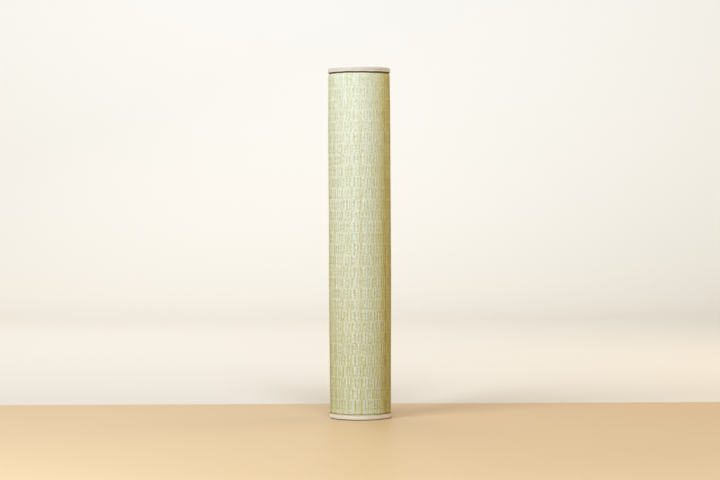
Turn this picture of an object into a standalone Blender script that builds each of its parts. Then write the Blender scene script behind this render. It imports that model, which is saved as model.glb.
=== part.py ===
"""A tatami mat with bound edges, rolled up and standing on one end.

One sheet of woven rush is wound into an open spiral around an empty core. A folded
cloth tape is sewn along each of its two long edges, so the tapes wind round with it,
one at the top of the roll and one at its foot. The rush strands run up the roll.

Metres, +Z up. The origin is on the ground, at the centre of the roll's footprint, and
the loose outer end lies at the back, towards +Y.
"""

import math

import bmesh
import bpy

# The mat, laid flat
MAT_WIDTH = 0.600  # from one bound edge to the other, which is the roll's height
MAT_LENGTH = 1.800
MAT_THICKNESS = 0.0026
TAPE_REACH = 0.0080  # how far the tape covers each face of the mat
TAPE_CLOTH = 0.00045
CLEARANCE = 0.00032  # between the tape and the rush it holds

# The roll
ROLL_DIAMETER = 0.107  # across the rush from left to right, at half height
TURN_GAP = 0.00036  # between one turn of the tape and the next
STEPS_PER_TURN = 30
END_DIRECTION = math.radians(104)  # where the outer end lies, counter-clockwise from +X
SHARP_ANGLE = math.radians(30)

# The loose outer end stands a little away from the turn below it
END_LIFT = 0.0010
END_LIFT_SPAN = 0.060

# The roll's girth at each height, as a share of its girth at half height
GIRTH = (
    {"height": 0.000, "share": 0.973},
    {"height": 0.080, "share": 0.980},
    {"height": 0.220, "share": 0.998},
    {"height": 0.500, "share": 0.997},
    {"height": 0.600, "share": 0.979},
)

# Worked out from the sizes above
TAPE_SPAN = MAT_THICKNESS + 2 * (CLEARANCE + TAPE_CLOTH)
TURN_PITCH = TAPE_SPAN + TURN_GAP
TURNS_SHORT = END_DIRECTION / math.pi + 0.5  # left and right lie this far before the end
OUTER_RADIUS = (ROLL_DIAMETER - MAT_THICKNESS + TURN_PITCH * TURNS_SHORT) / 2
CORE_RADIUS = math.sqrt(OUTER_RADIUS**2 - MAT_LENGTH * TURN_PITCH / math.pi)
FULL_ANGLE = 2 * math.pi * (OUTER_RADIUS - CORE_RADIUS) / TURN_PITCH

RUSH = {"name": "rush", "colour": (0.62, 0.60, 0.38, 1.0), "roughness": 0.60}
TAPE = {"name": "tape_cloth", "colour": (0.74, 0.66, 0.57, 1.0), "roughness": 0.90}


def clear_scene():
    for obj in list(bpy.data.objects):
        bpy.data.objects.remove(obj, do_unlink=True)


def new_collection(name):
    collection = bpy.data.collections.new(name)
    bpy.context.scene.collection.children.link(collection)
    return collection


def make_material(finish):
    material = bpy.data.materials.new(finish["name"])
    material.use_nodes = True
    shader = material.node_tree.nodes["Principled BSDF"]
    shader.inputs["Base Color"].default_value = finish["colour"]
    shader.inputs["Roughness"].default_value = finish["roughness"]
    shader.inputs["Metallic"].default_value = 0.0
    return material


def share_at(height):
    """The girth's share at a height, on straight lines between the rows of GIRTH."""
    for low, high in zip(GIRTH, GIRTH[1:]):
        if height <= high["height"]:
            break
    along = (height - low["height"]) / (high["height"] - low["height"])
    return low["share"] + along * (high["share"] - low["share"])


def spiral_point(angle_left):
    """The middle of the mat's thickness, this many radians before its outer end."""
    length_left = angle_left * (OUTER_RADIUS - TURN_PITCH * angle_left / (4 * math.pi))
    lift = END_LIFT * max(0.0, 1 - length_left / END_LIFT_SPAN) ** 2
    radius = OUTER_RADIUS - TURN_PITCH * angle_left / (2 * math.pi) + lift
    direction = END_DIRECTION - angle_left
    return radius * math.cos(direction), radius * math.sin(direction), 0.0


def spiral_path(guides):
    """The mat's middle line, from its inner end to its outer end."""
    step = 2 * math.pi / STEPS_PER_TURN
    whole_steps = int(FULL_ANGLE / step)
    angles_left = [FULL_ANGLE] + [step * i for i in range(whole_steps, -1, -1)]
    curve = bpy.data.curves.new("mat_middle_line", "CURVE")
    curve.dimensions = "3D"
    curve.twist_mode = "Z_UP"
    curve.use_fill_caps = True
    spline = curve.splines.new("POLY")
    spline.points.add(len(angles_left) - 1)
    for point, angle_left in zip(spline.points, angles_left):
        point.co = (*spiral_point(angle_left), 1.0)
    return add_guide(curve, guides)


def closed_outline(name, corners, guides):
    """A flat closed outline, drawn as (across the mat's thickness, up its width)."""
    curve = bpy.data.curves.new(name, "CURVE")
    curve.dimensions = "2D"
    curve.fill_mode = "NONE"
    spline = curve.splines.new("POLY")
    spline.use_cyclic_u = True
    spline.points.add(len(corners) - 1)
    for point, (across, up) in zip(spline.points, corners):
        point.co = (across, up, 0.0, 1.0)
    return add_guide(curve, guides)


def add_guide(curve, guides):
    guide = bpy.data.objects.new(curve.name, curve)
    guide.hide_render = True
    guide.display_type = "WIRE"
    guides.objects.link(guide)
    return guide


def mat_corners():
    """The mat across its width, with a bend at each height where the girth changes."""
    half = MAT_THICKNESS / 2
    edge = TAPE_CLOTH + CLEARANCE
    heights = [edge, *[row["height"] for row in GIRTH[1:-1]], MAT_WIDTH - edge]
    return [(half, up) for up in heights] + [(-half, up) for up in reversed(heights)]


def tape_corners(edge_height, inward):
    """The tape folded over one edge of the mat. inward is +1 at the foot and -1 at the top."""
    outside = TAPE_SPAN / 2
    inside = outside - TAPE_CLOTH
    lip = edge_height + inward * TAPE_REACH
    fold = edge_height + inward * TAPE_CLOTH
    one_side = [(outside, edge_height), (outside, lip), (inside, lip), (inside, fold)]
    return one_side + [(-across, up) for across, up in reversed(one_side)]


def sweep(name, path, outline, finish, collection):
    """The solid that the outline leaves along the path, drawn in to the roll's girth."""
    path.data.bevel_mode = "OBJECT"
    path.data.bevel_object = outline
    graph = bpy.context.evaluated_depsgraph_get()
    mesh = bpy.data.meshes.new_from_object(path.evaluated_get(graph))
    mesh.name = name
    for vertex in mesh.vertices:
        share = share_at(vertex.co.z)
        vertex.co.x *= share
        vertex.co.y *= share
    shell = bmesh.new()
    shell.from_mesh(mesh)
    bmesh.ops.remove_doubles(shell, verts=shell.verts, dist=1e-6)
    bmesh.ops.recalc_face_normals(shell, faces=shell.faces)
    shell.to_mesh(mesh)
    shell.free()
    mesh.shade_smooth()
    mesh.set_sharp_from_angle(angle=SHARP_ANGLE)
    mesh.materials.clear()
    mesh.materials.append(make_material(finish))
    part = bpy.data.objects.new(name, mesh)
    collection.objects.link(part)
    return part


def centre_on_origin(parts):
    """Moves the finished meshes so that their footprint is centred on the origin."""
    points = [vertex.co for part in parts for vertex in part.data.vertices]
    for axis in (0, 1):
        middle = (min(p[axis] for p in points) + max(p[axis] for p in points)) / 2
        for point in points:
            point[axis] -= middle


def main():
    clear_scene()
    collection = new_collection("rolled_tatami_mat")
    guides = new_collection("guides")
    path = spiral_path(guides)
    shapes = {
        "rush_mat": (mat_corners(), RUSH),
        "edge_tape_foot": (tape_corners(0.0, 1), TAPE),
        "edge_tape_top": (tape_corners(MAT_WIDTH, -1), TAPE),
    }
    parts = []
    for name, (corners, finish) in shapes.items():
        outline = closed_outline(name + "_outline", corners, guides)
        parts.append(sweep(name, path, outline, finish, collection))
    centre_on_origin(parts)


main()
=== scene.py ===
"""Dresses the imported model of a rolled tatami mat: woven rush, warp threads, sewn edge tapes.

Everything is modelled flat, as a mat maker would lay it out, and is then wound into the
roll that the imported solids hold. Lengths are metres.
"""

from __future__ import annotations

import logging
import math
from dataclasses import dataclass
from enum import Enum
from typing import Sequence

import bpy
import numpy as np
from mathutils import Matrix, Vector

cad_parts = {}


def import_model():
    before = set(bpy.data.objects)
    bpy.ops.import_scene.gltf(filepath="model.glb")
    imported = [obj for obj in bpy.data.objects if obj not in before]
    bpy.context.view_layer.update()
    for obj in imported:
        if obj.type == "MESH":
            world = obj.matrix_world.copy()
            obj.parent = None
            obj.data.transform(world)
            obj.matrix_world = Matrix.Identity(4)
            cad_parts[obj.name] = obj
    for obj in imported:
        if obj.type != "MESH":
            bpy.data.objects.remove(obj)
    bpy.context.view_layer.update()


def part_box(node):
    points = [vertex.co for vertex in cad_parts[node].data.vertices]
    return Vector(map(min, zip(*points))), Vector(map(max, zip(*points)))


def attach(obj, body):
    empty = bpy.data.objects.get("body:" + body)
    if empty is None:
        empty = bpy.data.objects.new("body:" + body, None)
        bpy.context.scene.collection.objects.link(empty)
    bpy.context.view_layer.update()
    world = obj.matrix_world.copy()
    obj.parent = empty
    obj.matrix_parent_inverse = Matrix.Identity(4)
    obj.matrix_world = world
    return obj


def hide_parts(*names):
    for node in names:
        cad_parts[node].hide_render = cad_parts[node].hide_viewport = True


LOG = logging.getLogger("tatami_mat")
BODY = "root"
MM = 0.001
TURN = 2 * math.pi
SMOOTH_ANGLE = math.radians(50)
NEARLY = 0.1 * MM  # points this close to a line count as on it

Colour = tuple[float, float, float]


# ---------------------------------------------------------------- shader building


class Value:
    """A shader socket that carries one number; arithmetic on it adds Math nodes."""

    def __init__(self, shader: "Shader", socket: bpy.types.NodeSocket) -> None:
        """Keeps the socket and the shader that its nodes are added to."""
        self.shader = shader
        self.socket = socket

    def maths(self, operation: str, *others: "Value | float") -> "Value":
        """Adds one Math node.

        Args:
            operation: The Math node's operation.
            *others: Its second and third operands.

        Returns:
            The node's result.
        """
        sockets = dict(enumerate((self, *others)))
        return self.shader.node("ShaderNodeMath", {"operation": operation}, sockets)

    def reflected(self, operation: str, first: float) -> "Value":
        """The operation with a plain number in front of this value."""
        sockets = {0: first, 1: self}
        return self.shader.node("ShaderNodeMath", {"operation": operation}, sockets)

    def __add__(self, other: "Value | float") -> "Value":
        """The sum."""
        return self.maths("ADD", other)

    def __radd__(self, other: float) -> "Value":
        """The sum, with a number in front."""
        return self.maths("ADD", other)

    def __sub__(self, other: "Value | float") -> "Value":
        """The difference."""
        return self.maths("SUBTRACT", other)

    def __rsub__(self, other: float) -> "Value":
        """A number less this value."""
        return self.reflected("SUBTRACT", other)

    def __mul__(self, other: "Value | float") -> "Value":
        """The product."""
        return self.maths("MULTIPLY", other)

    def __rmul__(self, other: float) -> "Value":
        """The product, with a number in front."""
        return self.maths("MULTIPLY", other)

    def __truediv__(self, other: "Value | float") -> "Value":
        """The quotient."""
        return self.maths("DIVIDE", other)

    def __pow__(self, other: "Value | float") -> "Value":
        """The power."""
        return self.maths("POWER", other)

    def floor(self) -> "Value":
        """The whole number below."""
        return self.maths("FLOOR")

    def fraction(self) -> "Value":
        """What is left above the whole number."""
        return self.maths("FRACT")

    def magnitude(self) -> "Value":
        """The value without its sign."""
        return self.maths("ABSOLUTE")

    def clamped(self, low: float = 0.0, high: float = 1.0) -> "Value":
        """The value held between two limits."""
        return self.maths("MAXIMUM", low).maths("MINIMUM", high)


class Shader:
    """One material's node tree, with a Principled BSDF already joined to the output."""

    def __init__(self, name: str, colour: Colour, roughness: float) -> None:
        """Makes the material.

        Args:
            name: The material's name.
            colour: Its base colour until something is linked there.
            roughness: Its roughness until something is linked there.
        """
        self.material = bpy.data.materials.new(name)
        self.material.use_nodes = True
        self.tree = self.material.node_tree
        self.surface = self.tree.nodes["Principled BSDF"]
        self.set("Base Color", (*colour, 1.0))
        self.set("Roughness", roughness)
        self.material.diffuse_color = (*colour, 1.0)

    def node(self, kind: str, settings: dict | None = None, sockets: dict | None = None,
             output: str | int = 0) -> Value:
        """Adds any node.

        Args:
            kind: The node's type.
            settings: Its properties, set first; "stops" fills a colour ramp.
            sockets: Its inputs by name or number, each a number, a tuple or a Value.
            output: The output wanted, by name or number.

        Returns:
            That output.
        """
        made = self.tree.nodes.new(kind)
        for name, value in (settings or {}).items():
            if name == "stops":
                self.fill_ramp(made.color_ramp, value)
            else:
                setattr(made, name, value)
        for name, value in (sockets or {}).items():
            if isinstance(value, Value):
                self.tree.links.new(value.socket, made.inputs[name])
            else:
                made.inputs[name].default_value = value
        return Value(self, made.outputs[output])

    @staticmethod
    def fill_ramp(ramp: bpy.types.ColorRamp, stops: Sequence[tuple[float, Colour]]) -> None:
        """Sets a colour ramp's stops.

        Args:
            ramp: The ramp.
            stops: A position and a colour for each stop, from low to high.
        """
        while len(ramp.elements) < len(stops):
            ramp.elements.new(1.0)
        for element, (position, colour) in zip(ramp.elements, stops):
            element.position = position
            element.color = (*colour, 1.0)

    def set(self, socket: str, value: "Value | float | tuple") -> None:
        """Links a value to one of the surface's sockets, or sets it there.

        Args:
            socket: The socket's name on the Principled BSDF.
            value: What it gets.
        """
        if isinstance(value, Value):
            self.tree.links.new(value.socket, self.surface.inputs[socket])
        else:
            self.surface.inputs[socket].default_value = value

    def flat_place(self) -> tuple[Value, Value, Value]:
        """Where the surface lies on the flat mat.

        Returns:
            The UV map's vector, and the distances along and across the mat.
        """
        place = self.node("ShaderNodeUVMap", {"uv_map": "flat"})
        along = self.node("ShaderNodeSeparateXYZ", None, {0: place}, "X")
        across = self.node("ShaderNodeSeparateXYZ", None, {0: place}, "Y")
        return place, along, across

    def attribute(self, name: str) -> Value:
        """A number stored on the mesh under this name."""
        return self.node("ShaderNodeAttribute", {"attribute_name": name}, None, "Fac")

    def point(self, x: "Value | float", y: "Value | float", z: "Value | float" = 0.0) -> Value:
        """A vector from three numbers."""
        return self.node("ShaderNodeCombineXYZ", None, {0: x, 1: y, 2: z})

    def noise(self, place: Value, scale: float, detail: float = 2.0) -> Value:
        """Smooth noise from 0 to 1 at a place, with this many features to the metre."""
        sockets = {"Vector": place, "Scale": scale, "Detail": detail, "Roughness": 0.55}
        return self.node("ShaderNodeTexNoise", None, sockets)

    def round_thread(self, share: Value) -> Value:
        """How high a round thread stands, for a share from 0 to 1 of the way over it."""
        return 1.0 - ((share - 0.5) * 2.0) ** 2.0

    def ramp(self, along: Value, stops: Sequence[tuple[float, Colour]]) -> Value:
        """A colour looked up on a ramp."""
        return self.node("ShaderNodeValToRGB", {"stops": stops}, {0: along})

    def mix(self, share: "Value | float", first: "Value | Colour", second: "Value | Colour",
            blend: str = "MIX") -> Value:
        """Mixes two colours.

        Args:
            share: How much of the second shows.
            first: The colour at 0.
            second: The colour at 1.
            blend: The Mix node's blend type.

        Returns:
            The mixed colour.
        """
        first, second = (c if isinstance(c, Value) else (*c, 1.0) for c in (first, second))
        settings = {"data_type": "RGBA", "blend_type": blend}
        sockets = {"Factor": share, 6: first, 7: second}
        return self.node("ShaderNodeMix", settings, sockets, 2)

    def bump(self, height: Value, distance: float, strength: float = 1.0) -> None:
        """Raises the surface by a height map.

        Args:
            height: The height, from 0 to 1.
            distance: What a height of 1 measures, in metres.
            strength: How strongly it shows.
        """
        sockets = {"Height": height, "Distance": distance, "Strength": strength}
        self.set("Normal", self.node("ShaderNodeBump", None, sockets))


# ---------------------------------------------------------------- finishes


@dataclass(frozen=True)
class Mottle:
    """Uneven tone on the rush: how much it shifts the tone, and how fast it changes."""

    weight: float
    sideways: float
    upwards: float


@dataclass(frozen=True)
class RushFinish:
    """Dried rush: pale sage to straw, each strand its own tone, with fine ribs along it.

    The drift and the flecks change from strand to strand and up each strand. The
    blotches change with the place on the mat, so they cross many strands.
    """

    sage: Colour = (0.460, 0.488, 0.460)
    pale: Colour = (0.421, 0.418, 0.315)
    straw: Colour = (0.412, 0.371, 0.172)
    tan: Colour = (0.285, 0.230, 0.069)
    # Painted shade down the strands' flanks and in the hollows between them.
    flank_shade: Colour = (0.360, 0.285, 0.095)
    # Painted shade in the crease just under the top tape.
    crease_shade: Colour = (0.167, 0.128, 0.059)
    fleck: Colour = (0.285, 0.260, 0.120)
    fibre: Colour = (0.250, 0.205, 0.080)
    drift: Mottle = Mottle(0.44, 9.7, 16.0)
    flecks: Mottle = Mottle(0.57, 21.1, 450.0)
    blotches: Mottle = Mottle(0.16, 9.0, 5.0)
    roughness: float = 0.50
    sheen_change: float = 0.25
    specular: float = 0.25
    # How far up from the foot edge the tone falls and the specks grow, and how much the tone falls.
    footward_reach: float = 0.45
    footward_shift: float = 0.14
    # The painted shade covers the flanks below the first crown value and is gone this much above it.
    lit_crown_from: float = 0.1
    lit_crown_span: float = 0.6
    speck_below: float = 0.51
    speck_contrast: float = 3.8
    footward_speck_contrast: float = 2.2
    # How quickly the painted crease shade comes in, and how strong it is.
    crease_shade_ramp: float = 1.6 * MM
    crease_shade_strength: float = 0.8
    rib_height: float = 0.05 * MM
    rib_strength: float = 0.7
    ribs_per_metre: float = 5200.0
    rib_detail: float = 3.0
    fibre_stretch: float = 0.012
    fibre_apart: float = 0.01
    fibre_above: float = 0.35
    fibre_strength: float = 0.45
    woven_tones: tuple[float, float] = (0.2, 0.9)
    woven_shade: float = 0.2
    woven_dip_ramp: float = 0.2
    woven_relief: float = 0.5 * MM

    def tone_colour(self, shader: Shader, tone: Value) -> Value:
        """The strand's own colour for its tone from 0 to 1."""
        stops = [(0.0, self.tan), (0.25, self.straw), (0.55, self.pale), (1.0, self.sage)]
        return shader.ramp(tone, stops)

    def strand_material(self, crease_shade_from: float) -> bpy.types.Material:
        """The finish of the modelled strands.

        They carry their number and their tone as attributes, and their crown: 1 along the
        top of a strand and 0 down its flanks, which are painted in shade, darker and more golden.

        Args:
            crease_shade_from: The height across the mat from which painted shade darkens the strands,
                in the crease under the top tape.

        Returns:
            The material.
        """
        shader = Shader("rush_strand", self.pale, self.roughness)
        _, along, across = shader.flat_place()
        number, tone, crown = (shader.attribute(name) for name in ("number", "tone", "crown"))
        mottles = ((self.drift, number), (self.flecks, number), (self.blotches, along))
        drift, fleck, blotch = (
            shader.noise(shader.point(side * mottle.sideways, across * mottle.upwards), 1.0)
            for mottle, side in mottles
        )
        shifted = tone
        for (mottle, _), pattern in zip(mottles, (drift, fleck, blotch)):
            shifted = shifted + (pattern - 0.5) * mottle.weight
        # Darker and more specked towards the foot edge.
        root = 1.0 - (across / self.footward_reach).clamped()
        shifted = shifted - root * self.footward_shift
        # Painted shade: low on each strand the colour turns to the shaded flanks' colour.
        lit_crown = ((crown - self.lit_crown_from) / self.lit_crown_span).clamped()
        colour = shader.mix(lit_crown, self.flank_shade, self.tone_colour(shader, shifted.clamped()))
        contrast = root * self.footward_speck_contrast + self.speck_contrast
        speck = ((self.speck_below - fleck) * contrast).clamped()
        colour = shader.mix(speck, colour, self.fleck)
        # Painted shade in the crease under the top tape, and on to the edge.
        crease_shade_mask = ((across - crease_shade_from) / self.crease_shade_ramp).clamped()
        colour = shader.mix(crease_shade_mask * self.crease_shade_strength, colour, self.crease_shade)
        fibre_place = shader.point(along, across * self.fibre_stretch, number * self.fibre_apart)
        fibre = shader.noise(fibre_place, self.ribs_per_metre, self.rib_detail)
        colour = shader.mix((fibre - self.fibre_above) * self.fibre_strength, colour, self.fibre)
        shader.set("Base Color", colour)
        shader.set("Roughness", self.roughness + (fibre - 0.5) * self.sheen_change)
        shader.set("Specular IOR Level", self.specular)
        shader.bump(fibre, self.rib_height, self.rib_strength)
        return shader.material

    def woven_material(self, strand_width: float, row_pitch: float) -> bpy.types.Material:
        """The finish of the woven body, whose strands and rows are drawn and raised.

        Args:
            strand_width: From one strand to the next.
            row_pitch: From one row of warp threads to the next.

        Returns:
            The material.
        """
        shader = Shader("rush_woven", self.straw, self.roughness)
        _, along, across = shader.flat_place()
        count = along / strand_width
        number = count.floor()
        pair = (count / 2.0).floor()
        chosen = shader.node("ShaderNodeTexWhiteNoise", {"noise_dimensions": "1D"}, {"W": number})
        round_top = shader.round_thread(count.fraction())
        row = across / row_pitch + pair * 0.5
        dip = ((row.fraction() - 0.5).magnitude() / self.woven_dip_ramp).clamped()
        darkest, palest = self.woven_tones
        tone = (chosen * (palest - darkest) + darkest).clamped()
        shade = (round_top * dip * (1.0 - self.woven_shade) + self.woven_shade).clamped()
        shader.set("Base Color", shader.mix(shade, self.tan, self.tone_colour(shader, tone)))
        shader.bump(round_top * dip, self.woven_relief)
        return shader.material


@dataclass(frozen=True)
class ThreadFinish:
    """Plied sewing or warp thread, matt and slightly hairy."""

    name: str
    colour: Colour
    twist_per_metre: float = 1800.0
    fuzz_per_metre: float = 2600.0
    groove_shade_share: float = 0.66
    roughness: float = 0.85
    sheen: float = 0.2
    relief: float = 0.08 * MM

    def material(self) -> bpy.types.Material:
        """Draws the thread's ply as slanting bands, with painted shade in the grooves between the
        plies, mottled at random by fuzz.

        Returns:
            The thread's material.
        """
        shader = Shader(self.name, self.colour, self.roughness)
        _, along, across = shader.flat_place()
        ply = 0.5 + 0.5 * ((along + across) * self.twist_per_metre * TURN).maths("SINE")
        fuzz = shader.noise(shader.point(along, across), self.fuzz_per_metre)
        # Painted shade in the ply grooves, mixed with random fuzz mottling.
        groove_shade = tuple(part * self.groove_shade_share for part in self.colour)
        shader.set("Base Color", shader.mix((ply * 0.5 + fuzz * 0.5).clamped(), groove_shade, self.colour))
        shader.set("Sheen Weight", self.sheen)
        shader.bump(ply, self.relief)
        return shader.material


@dataclass(frozen=True)
class TapeFinish:
    """Plain woven cotton tape, pinkish beige, with a slightly uneven dye."""

    name: str = "tape_cloth"
    colour: Colour = (0.355, 0.310, 0.277)
    shadow: Colour = (0.238, 0.195, 0.166)
    pale: Colour = (0.410, 0.369, 0.341)
    threads_per_metre: float = 2300.0
    wander_per_metre: float = 420.0
    thread_wander: float = 0.6
    slubs_per_metre: float = 1500.0
    slub_stretch: float = 0.25
    dye_per_metre: float = 60.0
    dye_from: float = 0.3
    dye_strength: float = 1.2
    weave_shade: float = 0.35
    slub_from: float = 0.45
    slub_shade: float = 0.5
    weave_height: float = 0.6
    slub_height: float = 0.7
    relief: float = 0.12 * MM
    roughness: float = 0.92
    sheen: float = 0.35
    sheen_roughness: float = 0.5

    def material(self) -> bpy.types.Material:
        """Draws a plain weave of crossing threads.

        Returns:
            The tape's material.
        """
        shader = Shader(self.name, self.colour, self.roughness)
        _, along, across = shader.flat_place()
        wander = shader.noise(shader.point(along, across), self.wander_per_metre) * self.thread_wander
        warp_count, weft_count = along * self.threads_per_metre, across * self.threads_per_metre
        round_warp, round_weft = (
            shader.round_thread((count + wander).fraction()) for count in (warp_count, weft_count)
        )
        over = ((warp_count.floor() + weft_count.floor()) * 0.5).fraction() * 2.0
        height = over * round_warp + (1.0 - over) * round_weft
        slub_place = shader.point(along * self.slub_stretch, across)
        slub = shader.noise(slub_place, self.slubs_per_metre, 3.0)
        dye = shader.noise(shader.point(along, across), self.dye_per_metre, 3.0)
        colour = shader.mix((dye - self.dye_from) * self.dye_strength, self.colour, self.pale)
        hollow = (1.0 - height) * self.weave_shade + (slub - self.slub_from) * self.slub_shade
        shader.set("Base Color", shader.mix(hollow.clamped(), colour, self.shadow))
        shader.set("Sheen Weight", self.sheen)
        shader.set("Sheen Roughness", self.sheen_roughness)
        shader.bump(height * self.weave_height + slub * self.slub_height, self.relief)
        return shader.material


@dataclass(frozen=True)
class StudioFinish:
    """The pale paper of the backdrop, and the warmer, smoother patch of it underfoot."""

    backdrop: Colour = (0.85, 0.88, 0.93)
    near_backdrop: Colour = (0.355, 0.330, 0.312)
    floor: Colour = (0.317, 0.226, 0.135)
    pale_floor: Colour = (0.40, 0.33, 0.25)
    floor_end: float = 0.24
    warm_reach: float = 0.75
    warm_fade: float = 1.80
    far_reach: float = 3.2
    far_fade: float = 3.0
    blend_span: float = 0.01
    backdrop_span: float = 4.40
    roughness: float = 0.90
    floor_roughness: float = 0.45

    def material(self) -> bpy.types.Material:
        """Makes the paper warm round the roll, as far back as the floor goes, and pale beyond.

        Returns:
            The paper's material.
        """
        shader = Shader("studio_paper", self.backdrop, self.roughness)
        place = shader.node("ShaderNodeTexCoord", None, None, "Object")
        side = shader.node("ShaderNodeSeparateXYZ", None, {0: place}, "X")
        back = shader.node("ShaderNodeSeparateXYZ", None, {0: place}, "Y")
        away = (side * side + back * back) ** 0.5
        faded = ((away - self.warm_reach) / self.warm_fade).clamped()
        far = ((away - self.far_reach) / self.far_fade).clamped()
        floor = shader.mix(far, shader.mix(faded, self.floor, self.pale_floor), self.backdrop)
        beyond = ((back - self.floor_end) / self.blend_span).clamped()
        rising = ((back - self.floor_end) / self.backdrop_span).clamped().maths("MAXIMUM", far)
        pale = shader.mix(rising, self.near_backdrop, self.backdrop)
        shader.set("Base Color", shader.mix(beyond, floor, pale))
        smoother = self.roughness - self.floor_roughness
        shader.set("Roughness", beyond * smoother + self.floor_roughness)
        return shader.material


# ---------------------------------------------------------------- the flat mat and its winding


@dataclass(frozen=True)
class FlatMat:
    """The mat laid flat with its rush face up.

    X runs along it from its inner end, Y across it from the foot edge to the top edge,
    and Z is 0 at the middle of its thickness. The first sizes are the solids' own.
    """

    width: float = 600 * MM
    length: float = 1800 * MM
    thickness: float = 2.6 * MM
    tape_reach: float = 8.0 * MM
    tape_cloth: float = 0.45 * MM
    tape_clearance: float = 0.32 * MM
    turn_gap: float = 0.36 * MM
    first_row: float = 24.1 * MM
    row_pitch: float = 18.93 * MM
    row_count: int = 30
    strand_pitch: float = 1.30 * MM

    @property
    def tape_span(self) -> float:
        """The tape's thickness over both faces of the mat."""
        return self.thickness + 2 * (self.tape_clearance + self.tape_cloth)

    @property
    def turn_pitch(self) -> float:
        """From one turn of the roll to the next."""
        return self.tape_span + self.turn_gap

    @property
    def rows(self) -> list[float]:
        """The heights of the warp rows across the mat."""
        return [self.first_row + self.row_pitch * k for k in range(self.row_count)]


@dataclass(frozen=True)
class Girth:
    """The roll's girth at a height, as a share of its girth at half height."""

    height: float
    share: float


@dataclass(frozen=True)
class Wave:
    """A slight wave: how fast it goes with each of the two things that it depends on."""

    first: float
    second: float

    def at(self, first: np.ndarray, second: np.ndarray | float) -> np.ndarray:
        """The wave's height, from -1 to 1."""
        return np.sin(self.first * first + self.second * second)


@dataclass(frozen=True)
class Winding:
    """The open spiral that the flat mat is wound into.

    The waves make the roll a little less than round: each goes with the direction
    round the roll and with the height.
    """

    mat: FlatMat
    centre: tuple[float, float] = (0.0, 0.0)
    diameter: float = 107 * MM
    end_direction: float = math.radians(104)
    end_lift: float = 1.0 * MM
    end_lift_span: float = 60 * MM
    blur: float = 18 * MM
    waviness: float = 0.10 * MM
    waves: tuple[Wave, Wave] = (Wave(2, 11), Wave(3, -17))
    girths: tuple[Girth, ...] = (
        Girth(0.000, 0.973), Girth(0.080, 0.980), Girth(0.220, 0.998),
        Girth(0.500, 0.997), Girth(0.600, 0.979),
    )

    @property
    def outer_radius(self) -> float:
        """The radius of the mat's middle at its outer end."""
        turns_short = self.end_direction / math.pi + 0.5
        return (self.diameter - self.mat.thickness + self.mat.turn_pitch * turns_short) / 2

    def direction(self, along: np.ndarray | float) -> np.ndarray | float:
        """Where a distance along the mat lies, seen from the roll's middle.

        Args:
            along: The distance from the mat's inner end, or many of them.

        Returns:
            Its direction in radians, counter-clockwise from +X.
        """
        rise = self.mat.turn_pitch / TURN
        left = self.mat.length - along
        outer = self.outer_radius
        return self.end_direction - (outer - np.sqrt(outer**2 - 2 * rise * left)) / rise

    def share(self, height: np.ndarray) -> np.ndarray:
        """The girth at each height, with the bends between its stretches eased.

        Args:
            height: The heights.

        Returns:
            The girth at each, as a share of the girth at half height.
        """
        heights = [girth.height for girth in self.girths]
        shares = [girth.share for girth in self.girths]
        steps = np.linspace(-self.blur, self.blur, 7)
        return sum(np.interp(height + step, heights, shares) for step in steps) / len(steps)

    def wind(self, flat: np.ndarray) -> np.ndarray:
        """Winds flat points into the roll.

        Args:
            flat: Points on the flat mat, a row for each.

        Returns:
            The same points on the roll.
        """
        left = self.mat.length - flat[:, 0]
        direction = self.direction(flat[:, 0])
        inset = self.mat.turn_pitch / TURN * (self.end_direction - direction)
        lift = self.end_lift * np.clip(1 - left / self.end_lift_span, 0, 1) ** 2
        radius = self.outer_radius - inset + lift + flat[:, 2]
        waving = sum(wave.at(direction, flat[:, 1]) for wave in self.waves)
        radius = (radius + self.waviness * waving) * self.share(flat[:, 1])
        return np.stack(
            (
                self.centre[0] + radius * np.cos(direction),
                self.centre[1] + radius * np.sin(direction),
                flat[:, 1],
            ),
            axis=1,
        )

    @classmethod
    def fitted(cls, mat: FlatMat, node: str) -> "Winding":
        """The winding centred as a node of the frame is.

        Args:
            mat: The flat mat.
            node: The node that holds the mat's solid.

        Returns:
            The winding, in the frame's coordinates.
        """
        low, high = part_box(node)
        middle = [(low[axis] + high[axis]) / 2 for axis in (0, 1)]
        plain = cls(mat)
        widest = max(plain.girths, key=lambda girth: girth.share)
        along = np.linspace(0, mat.length, 4000)
        flat = np.full((len(along), 3), (0.0, widest.height, mat.thickness / 2))
        flat[:, 0] = along
        wound = plain.wind(flat)
        own = [(wound[:, axis].min() + wound[:, axis].max()) / 2 for axis in (0, 1)]
        return cls(mat, centre=(middle[0] - own[0], middle[1] - own[1]))


# ---------------------------------------------------------------- modelling helpers


@dataclass(frozen=True)
class Station:
    """One ring of a tube: its centre on the flat mat and its two half widths."""

    along: float
    across: float
    up: float
    half_wide: float
    half_deep: float


class Run(Enum):
    """Which way a tube runs on the flat mat."""

    ALONG = 0
    ACROSS = 1


def deselect_all() -> None:
    """Leaves nothing selected."""
    for obj in bpy.context.selected_objects:
        obj.select_set(False)


def select_only(obj: bpy.types.Object) -> None:
    """Makes one object the selected and active one.

    Args:
        obj: The object.
    """
    deselect_all()
    obj.select_set(True)
    bpy.context.view_layer.objects.active = obj


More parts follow.
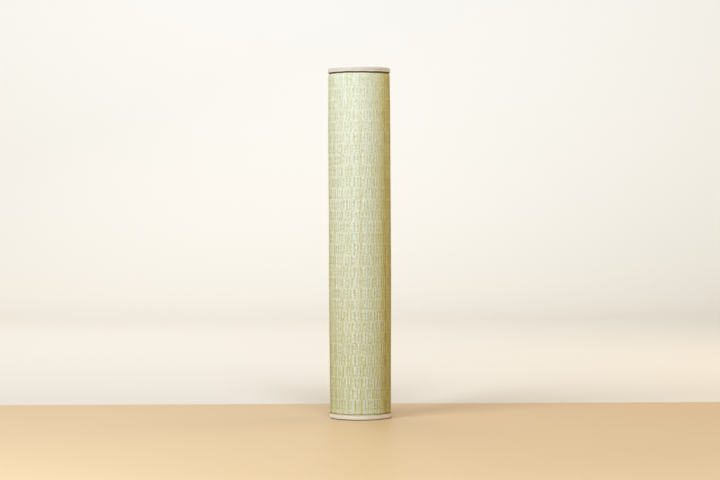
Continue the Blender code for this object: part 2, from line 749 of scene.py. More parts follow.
def extruded_tube(name: str, stations: Sequence[Station], run: Run, sides: int) -> bpy.types.Object:
    """Extrudes a ring through its stations.

    Args:
        name: The new object's name.
        stations: The rings in order.
        run: Which way the tube runs.
        sides: How many sides it has.

    Returns:
        The tube, closed at both ends.
    """
    deselect_all()
    first = stations[0]
    turned = (0.0, math.pi / 2, 0.0) if run is Run.ALONG else (math.pi / 2, 0.0, 0.0)
    bpy.ops.mesh.primitive_circle_add(
        vertices=sides, radius=1.0, fill_type="NGON", rotation=turned,
        location=(first.along, first.across, first.up),
    )
    tube = bpy.context.object
    tube.name = tube.data.name = name
    bpy.ops.object.transform_apply(location=True, rotation=True, scale=True)
    bpy.ops.object.mode_set(mode="EDIT")
    bpy.ops.mesh.select_all(action="SELECT")
    bpy.ops.transform.resize(value=ring_scale(first, run))
    for before, station in zip(stations, stations[1:]):
        step = (
            station.along - before.along,
            station.across - before.across,
            station.up - before.up,
        )
        bpy.ops.mesh.extrude_region_move(TRANSFORM_OT_translate={"value": step})
        old, new = ring_scale(before, run), ring_scale(station, run)
        if old != new:
            bpy.ops.transform.resize(value=tuple(after / prior for after, prior in zip(new, old)))
    bpy.ops.mesh.select_all(action="SELECT")
    bpy.ops.mesh.normals_make_consistent(inside=False)
    bpy.ops.object.mode_set(mode="OBJECT")
    return tube


def ring_scale(station: Station, run: Run) -> tuple[float, float, float]:
    """A ring's size along the flat mat's three axes.

    Args:
        station: The ring.
        run: Which way its tube runs.

    Returns:
        Its three half widths, with 1 along the tube.
    """
    if run is Run.ALONG:
        return (1.0, station.half_wide, station.half_deep)
    return (station.half_wide, 1.0, station.half_deep)


def points_of(mesh: bpy.types.Mesh) -> np.ndarray:
    """Reads a mesh's points.

    Args:
        mesh: The mesh.

    Returns:
        The points, a row for each.
    """
    points = np.empty(len(mesh.vertices) * 3, dtype=np.float32)
    mesh.vertices.foreach_get("co", points)
    return points.reshape(-1, 3).astype(float)


def set_points(mesh: bpy.types.Mesh, points: np.ndarray) -> None:
    """Moves a mesh's points."""
    mesh.vertices.foreach_set("co", points.astype(np.float32).ravel())
    mesh.update()


def map_flat(mesh: bpy.types.Mesh, place: np.ndarray) -> None:
    """Gives a mesh a UV map of where each of its points lies on the flat cloth.

    Args:
        mesh: The mesh.
        place: Two distances for each of its points.
    """
    layer = mesh.uv_layers.get("flat") or mesh.uv_layers.new(name="flat")
    corners = np.empty(len(mesh.loops), dtype=np.int32)
    mesh.loops.foreach_get("vertex_index", corners)
    layer.data.foreach_set("uv", place[corners].astype(np.float32).ravel())


def give_number(mesh: bpy.types.Mesh, name: str, numbers: np.ndarray) -> None:
    """Stores a number on each of a mesh's points, under a name for its material."""
    layer = mesh.attributes.new(name, "FLOAT", "POINT")
    layer.data.foreach_set("value", numbers.astype(np.float32))


def copy_of(source: bpy.types.Object, name: str) -> bpy.types.Object:
    """Copies an object and its mesh, and links the copy to the scene.

    Args:
        source: The object.
        name: The copy's name.

    Returns:
        The copy.
    """
    copy = source.copy()
    copy.data = source.data.copy()
    copy.name = copy.data.name = name
    bpy.context.scene.collection.objects.link(copy)
    return copy


def joined(parts: Sequence[bpy.types.Object], name: str) -> bpy.types.Object:
    """Joins objects into the first of them.

    Args:
        parts: The objects, each with a mesh of its own.
        name: The joined object's name.

    Returns:
        The joined object.
    """
    deselect_all()
    for part in parts:
        part.select_set(True)
    bpy.context.view_layer.objects.active = parts[0]
    bpy.ops.object.join()
    whole = bpy.context.object
    whole.name = whole.data.name = name
    return whole


def remove(obj: bpy.types.Object) -> None:
    """Deletes an object that was only a pattern for others."""
    bpy.data.objects.remove(obj, do_unlink=True)


def face_outwards(obj: bpy.types.Object) -> None:
    """Turns the faces of an object's closed shapes outwards.

    Args:
        obj: The object.
    """
    select_only(obj)
    bpy.ops.object.mode_set(mode="EDIT")
    bpy.ops.mesh.select_all(action="SELECT")
    bpy.ops.mesh.normals_make_consistent(inside=False)
    bpy.ops.object.mode_set(mode="OBJECT")


def finish_piece(piece: bpy.types.Object, material: bpy.types.Material) -> None:
    """Dresses a finished piece and makes it ride with the roll.

    Args:
        piece: The piece.
        material: Its material.
    """
    piece.data.materials.clear()
    piece.data.materials.append(material)
    select_only(piece)
    bpy.ops.object.shade_smooth_by_angle(angle=SMOOTH_ANGLE)
    deselect_all()
    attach(piece, BODY)
    LOG.info("%s: %d faces", piece.name, len(piece.data.polygons))


# ---------------------------------------------------------------- the woven rush


@dataclass(frozen=True)
class Strand:
    """One rush strand as it lies in the weave.

    Its tone is painted light and shade for its place round the roll, and its shade is how
    far it differs from its neighbours, in standard deviations.
    """

    number: int
    along: float
    group: int
    tone: float
    shade: float
    wide: float
    tall: float
    sway: float


@dataclass
class RushWeave:
    """The woven rush: a body sheet, and the strands and warp threads of the outer turn.

    A pair of numbers is the value at the foot edge and the value at the top edge, unless
    its name says otherwise.
    """

    mat: FlatMat
    winding: Winding
    rush: RushFinish
    cotton: ThreadFinish
    covered: float = 352 * MM
    body_bottom: float = -1.30 * MM
    body_top: float = 0.45 * MM
    body_steps: tuple[int, int] = (420, 26)
    body_press: float = 0.75
    strand_seat: float = 0.91 * MM
    strand_deep: float = 0.78 * MM
    strand_sides: int = 6
    strand_widths: tuple[float, float] = (0.86, 1.14)
    strand_talls: tuple[float, float] = (0.92, 1.06)
    strand_overlap: float = 1.04
    strand_sway: float = 0.03 * MM
    sway_wave: Wave = Wave(23, 9)
    strand_bow: float = 0.55 * MM
    flank_and_crown_widths: tuple[float, float] = (1.15, 0.77)
    flank_and_crown_heights: tuple[float, float] = (0.10, 0.74)
    pair_share: float = 0.72
    # Painted light and shade round the roll: the tone where it is palest, which way that faces, and how
    # far it falls towards the left and right sides.
    front_lit_tone: float = 0.80
    lit_side: float = math.radians(-110)
    side_shade_fall: float = 0.58
    # Painted shade on the left side of the roll, towards the foot: how much, which way it faces, and
    # how high it reaches.
    left_foot_shade: float = 0.23
    left_foot_shade_side: float = math.radians(180)
    left_foot_shade_height: float = 300 * MM
    tone_spreads: tuple[float, float] = (0.225, 0.12)
    shade_limits: tuple[float, float] = (-1.5, 1.8)
    float_tone_spread: float = 0.06
    # Painted shade in the dips under the warp: towards the foot the tone falls there and the crowns
    # sink, showing more shaded flanks; near the top the negative value lightens the dips, painted light
    # against their real shade.
    dip_shade_tones: tuple[float, float] = (0.33, -0.15)
    dip_crown_shades: tuple[float, float] = (0.25, 0.03)
    darkest_sunk: float = -0.6
    float_lean: float = 0.02 * MM
    float_lift: float = 0.05 * MM
    under_depth: float = 0.34 * MM
    over_rise: float = 0.10 * MM
    dip_reach: float = 6.5 * MM
    dip_ramp: float = 2.2 * MM
    under_tape: float = 1.30 * MM
    warp_spacing: float = 6.8 * MM
    warp_radius: float = 0.20 * MM
    warp_sides: int = 4
    warp_perch: float = 0.75
    warp_low: float = 0.10 * MM
    foot_crease_depth_and_span: tuple[float, float] = (0.65 * MM, 0.7 * MM)
    top_crease_depth_and_span: tuple[float, float] = (1.30 * MM, 2.6 * MM)
    crease_ramp: float = 1.3 * MM
    end_inset: float = 2.0 * MM
    lip_cover: float = 1.0 * MM
    pressed_width: float = 0.92
    strand_wander: float = 0.10 * MM
    strand_wave: Wave = Wave(11, 23)
    row_wander: float = 0.35 * MM
    row_wave: Wave = Wave(41, 7)
    quarters: int = 4
    seed: int = 31

    def __post_init__(self) -> None:
        """Lays out the strands of the outer turn, side by side."""
        self.chance = np.random.default_rng(self.seed)
        self.strands = self.lay_out()

    @property
    def crease_end(self) -> float:
        """How far in from the top edge the top tape's crease reaches."""
        return self.mat.tape_reach + self.top_crease_depth_and_span[1]

    def lay_out(self) -> list[Strand]:
        """Chooses each strand of the outer turn, in picks of two or three.

        Returns:
            The strands, from the inner end outwards.
        """
        strands, group, left_in_group = [], 0, 2
        along = self.mat.length - self.covered
        while along < self.mat.length - self.mat.strand_pitch / 2:
            wide = self.mat.strand_pitch * self.chance.uniform(*self.strand_widths)
            strands.append(
                Strand(
                    number=len(strands),
                    along=along + wide / 2,
                    group=group,
                    tone=self.mean_tone(along),
                    shade=float(np.clip(self.chance.normal(), *self.shade_limits)),
                    wide=wide,
                    tall=self.chance.uniform(*self.strand_talls),
                    sway=self.chance.uniform(-1.0, 1.0),
                )
            )
            along += wide
            left_in_group -= 1
            if left_in_group == 0:
                group += 1
                left_in_group = 2 if self.chance.random() < self.pair_share else 3
        return strands

    def mean_tone(self, along: float) -> float:
        """Painted light and shade round the roll: palest at its front and back, darkest at its left and
        right sides.
        """
        turned = float(self.winding.direction(along)) - self.lit_side
        return self.front_lit_tone - self.side_shade_fall * math.sin(turned) ** 4

    def left_foot_shade_fall(self, along: float, across: np.ndarray) -> np.ndarray:
        """Painted shade: how far a strand's tone falls on the left side of the roll and towards the
        foot.

        Args:
            along: Where the strand lies along the mat.
            across: Heights across the mat.

        Returns:
            The fall in tone at each height.
        """
        facing = max(0.0, math.cos(float(self.winding.direction(along)) - self.left_foot_shade_side))
        return self.left_foot_shade * facing**2 * np.clip(1 - across / self.left_foot_shade_height, 0, 1)

    def wander(self, flat: np.ndarray) -> np.ndarray:
        """Moves flat points as the weave wanders: rows and strands are never dead straight.

        Args:
            flat: Points on the flat mat, a row for each.

        Returns:
            The moved points.
        """
        along, across = flat[:, 0], flat[:, 1]
        moved = flat.copy()
        moved[:, 0] += self.strand_wander * self.strand_wave.at(across, along)
        moved[:, 1] += self.row_wander * self.row_wave.at(along, across) * self.belly(across)
        return moved

    def belly(self, across: np.ndarray) -> np.ndarray:
        """0 at both long edges, where the tapes hold the strands, and 1 half way."""
        return np.sin(across * math.pi / self.mat.width)

    def strand_stations(self, parity: int) -> list[Station]:
        """The rings of a strand that goes under every second row of warp.

        Args:
            parity: 0 to go under the even rows, 1 to go under the odd ones.

        Returns:
            The rings, from the foot edge to the top edge, for a strand of unit width.
        """
        half = self.strand_deep / 2
        high, sunk = self.over_rise, -self.under_depth
        low, end = self.dip_reach, self.dip_reach + self.dip_ramp
        # Each ring of a crossing: its step from the row, its rise and its width.
        under = (
            (-end, 0.0, 0.97), (-low, sunk, 0.90), (0.0, 0.55 * sunk, 0.94), (low, sunk, 0.90),
            (end, 0.0, 0.97),
        )
        over = ((-end, 0.6 * high, 1.05), (0.0, high, 1.07), (end, 0.6 * high, 1.05))
        shape = self.pressed_end(*self.foot_crease_depth_and_span)
        for number, row in enumerate(self.mat.rows):
            crossing = under if (number + parity) % 2 == 0 else over
            shape += [(row + step, rise, wide) for step, rise, wide in crossing]
        top_end = self.pressed_end(*self.top_crease_depth_and_span)
        shape += [(self.mat.width - up, rise, wide) for up, rise, wide in reversed(top_end)]
        return [
            Station(0.0, across, self.strand_seat + rise, 0.5 * wide, half)
            for across, rise, wide in shape
        ]

    def pressed_end(self, depth: float, span: float) -> list[tuple[float, float, float]]:
        """A strand's end under the tape and just past it: (in from the edge, rise, width).

        Args:
            depth: How deep the sewing presses it just past the tape.
            span: How far past the tape it stays pushed down.

        Returns:
            The end's rings, from the mat's edge inwards.
        """
        lip = self.mat.tape_reach
        return [
            (self.end_inset, -self.under_tape, self.pressed_width),
            (lip - self.lip_cover, -self.under_tape, self.pressed_width),
            (lip, -depth, self.pressed_width),
            (lip + span, -0.92 * depth, 0.95),
            (lip + span + self.crease_ramp, 0.0, 1.0),
            (lip + span + 1.5 * self.crease_ramp, 0.0, 1.0),
        ]

    def build_body(self) -> bpy.types.Object:
        """Models the mat's body sheet flat, then winds it.

        Returns:
            The body.
        """
        deselect_all()
        steps_along, steps_across = self.body_steps
        bpy.ops.mesh.primitive_grid_add(
            x_subdivisions=steps_along, y_subdivisions=steps_across, size=1.0,
            location=(self.mat.length / 2, self.mat.width / 2, self.body_top),
        )
        body = bpy.context.object
        body.name = body.data.name = "rush_body"
        edge = self.mat.tape_cloth + self.mat.tape_clearance
        body.scale = (self.mat.length, self.mat.width - 2 * edge, 1.0)
        bpy.ops.object.transform_apply(location=True, rotation=True, scale=True)
        bpy.ops.object.mode_set(mode="EDIT")
        crease_end = self.crease_end
        for inward in (crease_end, crease_end + self.crease_ramp):
            for across in (inward, self.mat.width - inward):
                bpy.ops.mesh.select_all(action="SELECT")
                bpy.ops.mesh.bisect(plane_co=(0.0, across, 0.0), plane_no=(0.0, 1.0, 0.0))
        bpy.ops.object.mode_set(mode="OBJECT")
        thicken = body.modifiers.new("thickness", "SOLIDIFY")
        thicken.thickness = self.body_top - self.body_bottom
        thicken.offset = -1.0
        bpy.ops.object.modifier_apply(modifier=thicken.name)
        flat = points_of(body.data)
        inward = np.minimum(flat[:, 1], self.mat.width - flat[:, 1])
        near_edge, on_top = inward < crease_end + NEARLY, flat[:, 2] > self.body_top - NEARLY
        flat[near_edge & on_top, 2] -= self.body_press * self.under_tape
        map_flat(body.data, flat[:, :2])
        set_points(body.data, self.winding.wind(flat))
        material = self.rush.woven_material(self.mat.strand_pitch, self.mat.row_pitch)
        finish_piece(body, material)
        return body

    def build_strands(self) -> list[bpy.types.Object]:
        """Models a strand for each parity, copies it for every strand, and winds them.

        Returns:
            The strands, joined into a few pieces.
        """
        patterns = [
            extruded_tube(
                f"strand_pattern_{parity}", self.strand_stations(parity), Run.ACROSS, self.strand_sides,
            )
            for parity in (0, 1)
        ]
        for pattern in patterns:
            self.round_crowns(pattern)
        material = self.rush.strand_material(self.mat.width - self.crease_end - self.crease_ramp)
        pieces = []
        for quarter, group in enumerate(np.array_split(np.arange(len(self.strands)), self.quarters)):
            laid = [self.laid_strand(patterns, self.strands[i]) for i in group]
            piece = joined(laid, f"rush_strands_{quarter + 1}")
            finish_piece(piece, material)
            pieces.append(piece)
        for pattern in patterns:
            remove(pattern)
        return pieces

    def round_crowns(self, pattern: bpy.types.Object) -> None:
        """Draws the sides of a six-sided strand up to its crown, which so becomes rounder.

        Args:
            pattern: The flat strand.
        """
        points = points_of(pattern.data)
        _, share = self.ring_heights(points)
        points[:, 0] *= np.interp(share, (-0.5, 0.5), self.flank_and_crown_widths)
        raised = np.interp(share, (-1.0, -0.5, 0.5, 1.0), (-1.0, *self.flank_and_crown_heights, 1.0))
        points[:, 2] += (raised - share) * self.strand_deep / 2
        set_points(pattern.data, points)

    def ring_heights(self, flat: np.ndarray) -> tuple[np.ndarray, np.ndarray]:
        """How high a flat strand's rings lie, and each point in its ring.

        Args:
            flat: The strand's points, ring by ring.

        Returns:
            For each point its ring's middle height, and its place from -1 to 1 above that.
        """
        rings = flat[:, 2].reshape(-1, self.strand_sides)
        middles = (rings.max(axis=1, keepdims=True) + rings.min(axis=1, keepdims=True)) / 2
        share = (2 * (rings - middles) / self.strand_deep).ravel()
        return np.repeat(middles, self.strand_sides), share

    def laid_strand(self, patterns: Sequence[bpy.types.Object], strand: Strand) -> bpy.types.Object:
        """Copies the right pattern for one strand and winds it into place.

        Args:
            patterns: The two strand patterns, by parity.
            strand: The strand.

        Returns:
            The wound strand.
        """
        piece = copy_of(patterns[strand.group % 2], "strand")
        flat = points_of(piece.data)
        across = flat[:, 1]
        sway = self.strand_sway * strand.sway * self.sway_wave.at(across, strand.sway)
        first_dip = self.mat.first_row + (strand.group % 2) * self.mat.row_pitch
        shown = np.floor((across - first_dip) / (2 * self.mat.row_pitch)).astype(int) + 1
        leans, lifts, shifts = (
            self.chance.normal(0.0, spread, self.mat.row_count)[shown]
            for spread in (self.float_lean, self.float_lift, self.float_tone_spread)
        )
        flat[:, 0] = strand.along + flat[:, 0] * strand.wide * self.strand_overlap + sway + leans
        flat[:, 1] += self.strand_bow * strand.sway * self.belly(across)
        flat[:, 2] = (flat[:, 2] - self.strand_seat) * strand.tall + self.strand_seat + lifts
        middles, share = self.ring_heights(flat)
        sunk = (middles - self.strand_seat) / self.under_depth
        # Painted shade in the dips, turning to painted light near the top; the crowns sink there too.
        own, darker, dip_crown_shade = (
            np.interp(across, (0, self.mat.width), ends)
            for ends in (self.tone_spreads, self.dip_shade_tones, self.dip_crown_shades)
        )
        tone = strand.tone + own * strand.shade + shifts + darker * np.maximum(sunk, self.darkest_sunk)
        # Painted shade on the left side, towards the foot.
        tone -= self.left_foot_shade_fall(strand.along, across)
        map_flat(piece.data, flat[:, :2])
        give_number(piece.data, "number", np.full(len(flat), strand.number))
        give_number(piece.data, "tone", tone)
        give_number(piece.data, "crown", share + dip_crown_shade * sunk)
        set_points(piece.data, self.winding.wind(self.wander(flat)))
        return piece

    def build_warps(self) -> bpy.types.Object:
        """Models the warp threads, two to a row, over and under the strands.

        Returns:
            The threads, joined.
        """
        patterns = [
            extruded_tube(
                f"warp_pattern_{parity}", self.warp_stations(parity), Run.ALONG, self.warp_sides,
            )
            for parity in (0, 1)
        ]
        laid = []
        for number, row in enumerate(self.mat.rows):
            for side in (-0.5, 0.5):
                piece = copy_of(patterns[number % 2], "warp")
                flat = points_of(piece.data)
                flat[:, 1] += row + side * self.warp_spacing
                map_flat(piece.data, flat[:, :2])
                set_points(piece.data, self.winding.wind(self.wander(flat)))
                laid.append(piece)
        for pattern in patterns:
            remove(pattern)
        piece = joined(laid, "warp_threads")
        finish_piece(piece, self.cotton.material())
        return piece

    def warp_stations(self, parity: int) -> list[Station]:
        """The rings of a warp thread: above the strands that dip, below the others.

        Args:
            parity: 0 for the even rows, 1 for the odd ones.

        Returns:
            The rings, from the inner end outwards.
        """
        dipped_crown = self.strand_seat - self.under_depth + self.strand_deep / 2
        above = dipped_crown + self.warp_perch * self.warp_radius
        rings = []
        for strand in self.strands:
            up = above if (parity + strand.group) % 2 == 0 else self.warp_low
            rings.append(Station(strand.along, 0.0, up, self.warp_radius, self.warp_radius))
        return rings

    def build(self) -> list[bpy.types.Object]:
        """Builds the whole weave in place of its solid.

        Returns:
            The body, the strands and the warp threads.
        """
        body = self.build_body()
        detail = [*self.build_strands(), self.build_warps()]
        for piece in (body, *detail):
            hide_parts("rush_mat")
        return [body, *detail]


# ---------------------------------------------------------------- the sewn edges


class Edge(Enum):
    """The mat's two long edges, by where they are on the standing roll."""

    FOOT = "foot"
    TOP = "top"


STITCH_SEEDS = {Edge.FOOT: 7, Edge.TOP: 8}


@dataclass
class EdgeTape:
    """A cloth tape folded over one long edge and sewn through the mat."""

    mat: FlatMat
    winding: Winding
    edge: Edge
    cloth: TapeFinish
    thread: ThreadFinish
    steps_along: int = 900
    fold_radius: float = 1.15 * MM
    squashed_radius: float = 0.60 * MM
    fold_reach: float = 4.0 * MM
    fold_swing: float = 0.10 * MM
    fold_waves: tuple[float, float] = (29.0, 13.0)
    lip_swing: float = 0.16 * MM
    lip_waves: tuple[float, float] = (97.0, 241.0)
    lip_rise: float = 0.05 * MM
    lip_round: float = 0.5 * MM
    fullness: float = 0.22 * MM
    fullest: tuple[float, float] = (3.4 * MM, 4.8 * MM)
    hem_rise: float = 0.32 * MM
    hem_width: float = 1.5 * MM
    hem_step: float = 0.4 * MM
    pucker_height: float = 0.05 * MM
    pucker_wave: float = 61.0
    pinched: float = 3.0 * MM
    pinch_height: float = -0.25 * MM
    outer_face: float = 0.8 * MM
    stitch_inset: float = 2.0 * MM
    stitch_sink: float = 0.10 * MM
    stitch_side: float = 0.5 * MM
    stitch_pitch: float = 3.1 * MM
    stitch_length: float = 2.35 * MM
    stitch_radius: float = 0.17 * MM
    stitch_sides: int = 6
    stitch_slant: float = 0.045
    stitch_drift: float = 0.05 * MM
    first_stitch: float = 5.2 * MM
    sewn: float = 347 * MM
    sewn_ramp: float = 30.0 * MM

    @property
    def node(self) -> str:
        """The solid that this tape stands for."""
        return f"edge_tape_{self.edge.value}"

    def half_profile(self) -> list[tuple[float, float]]:
        """The tape's middle line over the rush face.

        Returns:
            Its points from the fold to the lip: (in from the edge, up).
        """
        wall = self.mat.tape_cloth / 2
        face = self.mat.tape_span / 2 - wall
        radius = self.squashed_radius if self.edge is Edge.FOOT else self.fold_radius
        corner = [
            (wall + radius * (1 - math.cos(a)), face - radius * (1 - math.sin(a)))
            for a in (math.radians(d) for d in (0, 22.5, 45, 67.5, 90))
        ]
        lip = self.mat.tape_reach
        seam = lip - self.stitch_inset
        near, far = self.fullest
        slack = [(near, face + 0.6 * self.fullness), (far, face + 0.5 * self.fullness)]
        crease = [
            (seam - self.stitch_side, face),
            (seam, face - self.stitch_sink),
            (seam + self.stitch_side, face),
        ]
        hem = [(lip - self.lip_round, face + self.lip_rise), (lip, face - 0.4 * self.lip_rise)]
        return [(wall, 0.0), *corner, *slack, *crease, *hem]

    def profile(self) -> np.ndarray:
        """The tape's whole middle line, in the order that turns its faces outwards.

        Returns:
            Its points, a row of (in from the edge, up) for each.
        """
        half = self.half_profile()
        whole = [(inward, -up) for inward, up in reversed(half[1:])] + half
        return np.array(whole[::-1] if self.edge is Edge.FOOT else whole)

    def from_edge(self, inward: np.ndarray) -> np.ndarray:
        """The height across the mat for a distance in from this edge."""
        return inward if self.edge is Edge.FOOT else self.mat.width - inward

    def build_tape(self) -> bpy.types.Object:
        """Folds a flat strip over the edge, thickens it and winds it.

        Returns:
            The tape.
        """
        profile = self.profile()
        steps = np.hypot(*np.diff(profile, axis=0).T)
        developed = np.concatenate(([0.0], np.cumsum(steps)))
        deselect_all()
        bpy.ops.mesh.primitive_grid_add(
            x_subdivisions=self.steps_along, y_subdivisions=len(profile) - 1, size=1.0,
        )
        tape = bpy.context.object
        tape.name = tape.data.name = f"tape_{self.edge.value}"
        flat = points_of(tape.data)
        along = (flat[:, 0] + 0.5) * self.mat.length
        row = np.rint((flat[:, 1] + 0.5) * (len(profile) - 1)).astype(int)
        inward = self.hand_folded(along, profile[row, 0])
        up = self.sewn_down(along, inward, profile[row, 1])
        set_points(tape.data, np.stack((along, self.from_edge(inward), up), 1))
        map_flat(tape.data, np.stack((along, developed[row]), 1))
        select_only(tape)
        thicken = tape.modifiers.new("cloth", "SOLIDIFY")
        thicken.thickness = self.mat.tape_cloth
        thicken.offset = 0.0
        thicken.use_even_offset = True
        bpy.ops.object.modifier_apply(modifier=thicken.name)
        set_points(tape.data, self.winding.wind(points_of(tape.data)))
        finish_piece(tape, self.cloth.material())
        return tape

    def hand_folded(self, along: np.ndarray, inward: np.ndarray) -> np.ndarray:
        """Lets the lip and the fold of the tape run a little uneven.

        Args:
            along: Where the tape's points lie along the mat.
            inward: How far in from the mat's edge they lie.

        Returns:
            How far in they lie now.
        """
        slow, quick = self.lip_waves
        swing = self.lip_swing * (np.sin(along * slow) + np.sin(along * quick + 2))
        lip_share = np.clip((inward - self.fold_reach) / (self.mat.tape_reach - self.fold_reach), 0, 1)
        inward = inward + lip_share * swing
        wave, change = self.fold_waves
        roll = self.fold_swing * (1 + np.sin(along * wave + np.sin(along * change)))
        return inward + np.clip(1 - inward / self.fold_reach, 0, 1) * roll

    def sewn_down(self, along: np.ndarray, inward: np.ndarray, up: np.ndarray) -> np.ndarray:
        """Puckers the outer face, raises its hem, and pinches both ends of the tape shut.

        Args:
            along: Where the tape's points lie along the mat.
            inward: How far in from the mat's edge they lie.
            up: How high they lie.

        Returns:
            How high they lie now.
        """
        outer_turn = np.clip((along - self.mat.length + self.sewn) / self.sewn_ramp, 0, 1)
        pucker = np.sin(along * TURN / self.stitch_pitch / 4) * np.sin(along * self.pucker_wave)
        on_hem = np.clip((inward - self.mat.tape_reach + self.hem_width) / self.hem_step, 0, 1)
        raised = outer_turn * (self.pucker_height * pucker + self.hem_rise * on_hem)
        up = up + np.where(up > self.outer_face, raised, 0.0)
        from_end = np.minimum(along, self.mat.length - along)
        pinch = np.clip(1 - from_end / self.pinched, 0, 1) ** 2
        return np.where(up > self.pinch_height, up + pinch * (self.pinch_height - up), up)

    def stitch_stations(self) -> list[Station]:
        """The rings of one stitch, which dives into the cloth at both of its ends.

        Returns:
            The rings, from one end to the other.
        """
        half, thread = self.stitch_length / 2, self.stitch_radius
        seat = self.mat.tape_span / 2 - self.stitch_sink + 0.5 * thread
        # Each ring's place in half lengths, then its rise and its radius in thread radii.
        shape = (
            (-1.0, -1.9, 0.7), (-0.86, -0.4, 1.0), (-0.45, 0.1, 1.0),
            (0.45, 0.1, 1.0), (0.86, -0.4, 1.0), (1.0, -1.9, 0.7),
        )
        return [
            Station(half * place, 0.0, seat + thread * rise, thread * wide, thread * wide)
            for place, rise, wide in shape
        ]

    def build_stitches(self) -> bpy.types.Object:
        """Models one stitch, copies it along the outer turn and winds the row.

        Returns:
            The row of stitches.
        """
        inward = self.mat.tape_reach - self.stitch_inset
        stations = self.stitch_stations()
        pattern = extruded_tube("stitch_pattern", stations, Run.ALONG, self.stitch_sides)
        count = int(self.sewn / self.stitch_pitch)
        chance = np.random.default_rng(STITCH_SEEDS[self.edge])
        sewn = []
        for number in range(count):
            stitch = copy_of(pattern, "stitch")
            flat = points_of(stitch.data)
            flat[:, 0] += self.mat.length - self.first_stitch - number * self.stitch_pitch
            slant = chance.normal(0, self.stitch_slant)
            off = chance.normal(0, self.stitch_drift)
            middle = flat[:, 0].mean()
            flat[:, 1] = self.from_edge(flat[:, 1] + inward + off + slant * (flat[:, 0] - middle))
            map_flat(stitch.data, flat[:, :2])
            set_points(stitch.data, self.winding.wind(flat))
            sewn.append(stitch)
        remove(pattern)
        row = joined(sewn, f"tape_stitches_{self.edge.value}")
        face_outwards(row)
        finish_piece(row, self.thread.material())
        return row

    def build(self) -> None:
        """Builds the tape and its stitches in place of their solid."""
        tape, stitches = self.build_tape(), self.build_stitches()
        for piece in (tape, stitches):
            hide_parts(self.node)
        developed = 2 * self.mat.tape_reach + self.mat.tape_span


# ---------------------------------------------------------------- the studio


@dataclass(frozen=True)
class SoftLight:
    """A square soft light: where it stands and what it faces, its side, power and colour."""

    name: str
    place: tuple[float, float, float]
    target: tuple[float, float, float]
    side: float
    watts: float
    colour: Colour

    def build(self) -> None:
        """Adds the light, out of the camera's sight."""
        data = bpy.data.lights.new(self.name, "AREA")
        data.size, data.energy, data.color = self.side, self.watts, self.colour
        light = bpy.data.objects.new(self.name, data)
        light.location = self.place
        facing = Vector(self.target) - Vector(self.place)
        light.rotation_euler = facing.to_track_quat("-Z", "Y").to_euler()
        light.visible_camera = False
        bpy.context.scene.collection.objects.link(light)


ROLL_MIDDLE = (0.0, 0.0, 0.32)
BACK_WALL = (-0.5, 4.2, 1.0)
COOL = (0.78, 0.90, 1.0)
WARM = (1.0, 0.76, 0.38)
LIGHTS = (
    SoftLight("key_left", (-1.5, -1.6, 2.4), ROLL_MIDDLE, 1.3, 98.0, COOL),
    SoftLight("key_right", (0.15, -2.2, 2.5), ROLL_MIDDLE, 1.3, 110.0, COOL),
    SoftLight("fill", (1.9, 0.9, 1.3), ROLL_MIDDLE, 0.8, 19.0, WARM),
    SoftLight("back", (-1.3, 2.3, 2.6), ROLL_MIDDLE, 1.6, 28.0, (1.0, 0.93, 0.80)),
    SoftLight("wall_wash", (-0.5, 0.9, 3.0), BACK_WALL, 2.5, 32.0, (0.71, 0.77, 1.0)),
)


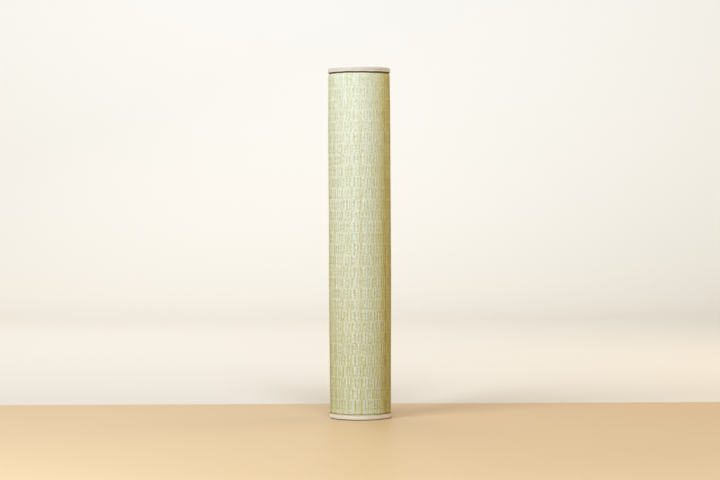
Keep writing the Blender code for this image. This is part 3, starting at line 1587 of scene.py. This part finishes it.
@dataclass
class Studio:
    """The pale floor that sweeps up behind, the soft lights and the camera."""

    paper: StudioFinish
    air_strength: float = 0.50
    camera_distance: float = 3.614
    camera_height: float = 0.372
    camera_side: float = 0.0002
    lens: float = 105.0
    sensor: float = 36.0
    look_down: float = math.radians(1.064)
    camera_roll: float = math.radians(-0.26)
    floor_level: float = -0.8 * MM
    sweep_start: float = 3.1
    sweep_radius: float = 1.6
    sweep_steps: int = 24
    wall_above_sweep: float = 0.4
    half_width: float = 12.0
    front: float = -12.0

    def build_paper(self) -> None:
        """Models the floor and the curved sweep as one sheet."""
        deselect_all()
        bpy.ops.mesh.primitive_plane_add(size=1.0)
        paper = bpy.context.object
        paper.name = paper.data.name = "studio_floor"
        depth = self.sweep_start - self.front
        paper.scale = (2 * self.half_width, depth, 1.0)
        paper.location = (0.0, self.front + depth / 2, self.floor_level)
        bpy.ops.object.transform_apply(location=True, rotation=True, scale=True)
        bpy.ops.object.mode_set(mode="EDIT")
        bpy.ops.mesh.select_all(action="DESELECT")
        bpy.ops.object.mode_set(mode="OBJECT")
        for edge in paper.data.edges:
            ends = [paper.data.vertices[i].co.y for i in edge.vertices]
            edge.select = min(ends) > self.sweep_start - NEARLY
        bpy.ops.object.mode_set(mode="EDIT")
        bpy.ops.mesh.select_mode(type="EDGE")
        bpy.ops.mesh.spin(
            steps=self.sweep_steps, angle=-math.pi / 2,
            center=(0.0, self.sweep_start, self.floor_level + self.sweep_radius),
            axis=(1.0, 0.0, 0.0),
        )
        upright = (0.0, 0.0, self.wall_above_sweep)
        bpy.ops.mesh.extrude_region_move(TRANSFORM_OT_translate={"value": upright})
        bpy.ops.mesh.select_all(action="SELECT")
        bpy.ops.mesh.normals_make_consistent(inside=False)
        bpy.ops.object.mode_set(mode="OBJECT")
        bpy.ops.object.shade_smooth_by_angle(angle=SMOOTH_ANGLE)
        paper.data.materials.append(self.paper.material())

    def build_air(self) -> None:
        """Fills the studio with a faint warm light from all sides."""
        world = bpy.data.worlds.new("studio_air")
        world.use_nodes = True
        air = world.node_tree.nodes["Background"]
        air.inputs["Color"].default_value = (*WARM, 1.0)
        air.inputs["Strength"].default_value = self.air_strength
        bpy.context.scene.world = world

    def build_camera(self) -> None:
        """Stands the camera where the reference view was taken from."""
        data = bpy.data.cameras.new("camera")
        data.lens, data.sensor_width = self.lens, self.sensor
        camera = bpy.data.objects.new("camera", data)
        camera.location = (self.camera_side, -self.camera_distance, self.camera_height)
        level = Matrix.Rotation(math.pi / 2 - self.look_down, 4, "X")
        camera.rotation_euler = (level @ Matrix.Rotation(self.camera_roll, 4, "Z")).to_euler()
        bpy.context.scene.collection.objects.link(camera)
        bpy.context.scene.camera = camera

    def build(self) -> None:
        """Builds the whole studio."""
        self.build_camera()
        self.build_paper()
        for light in LIGHTS:
            light.build()
        self.build_air()
        bpy.context.scene.view_settings.view_transform = "Standard"
        bpy.context.scene.view_settings.look = "Medium High Contrast"


# ---------------------------------------------------------------- the whole scene


def main() -> None:
    """Loads the frame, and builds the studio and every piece."""
    logging.basicConfig(level=logging.INFO, format="%(message)s")
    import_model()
    mat = FlatMat()
    winding = Winding.fitted(mat, "rush_mat")
    rush = RushFinish()
    tapes = {
        # The foot's tape is coloured lighter than the top's: painted light, for the light that the
        # floor throws up onto it.
        Edge.FOOT: TapeFinish(
            name="tape_cloth_foot_painted_light", colour=(0.470, 0.407, 0.330), shadow=(0.318, 0.256, 0.198),
            pale=(0.547, 0.487, 0.407),
        ),
        Edge.TOP: TapeFinish(),
    }
    warp_cotton = ThreadFinish(name="warp_cotton", colour=(0.60, 0.57, 0.38))
    sewing = ThreadFinish(name="sewing_thread", colour=(0.80, 0.72, 0.63))
    Studio(StudioFinish()).build()
    RushWeave(mat, winding, rush, warp_cotton).build()
    for edge in Edge:
        EdgeTape(mat, winding, edge, tapes[edge], sewing).build()


if __name__ == "__main__":
    main()
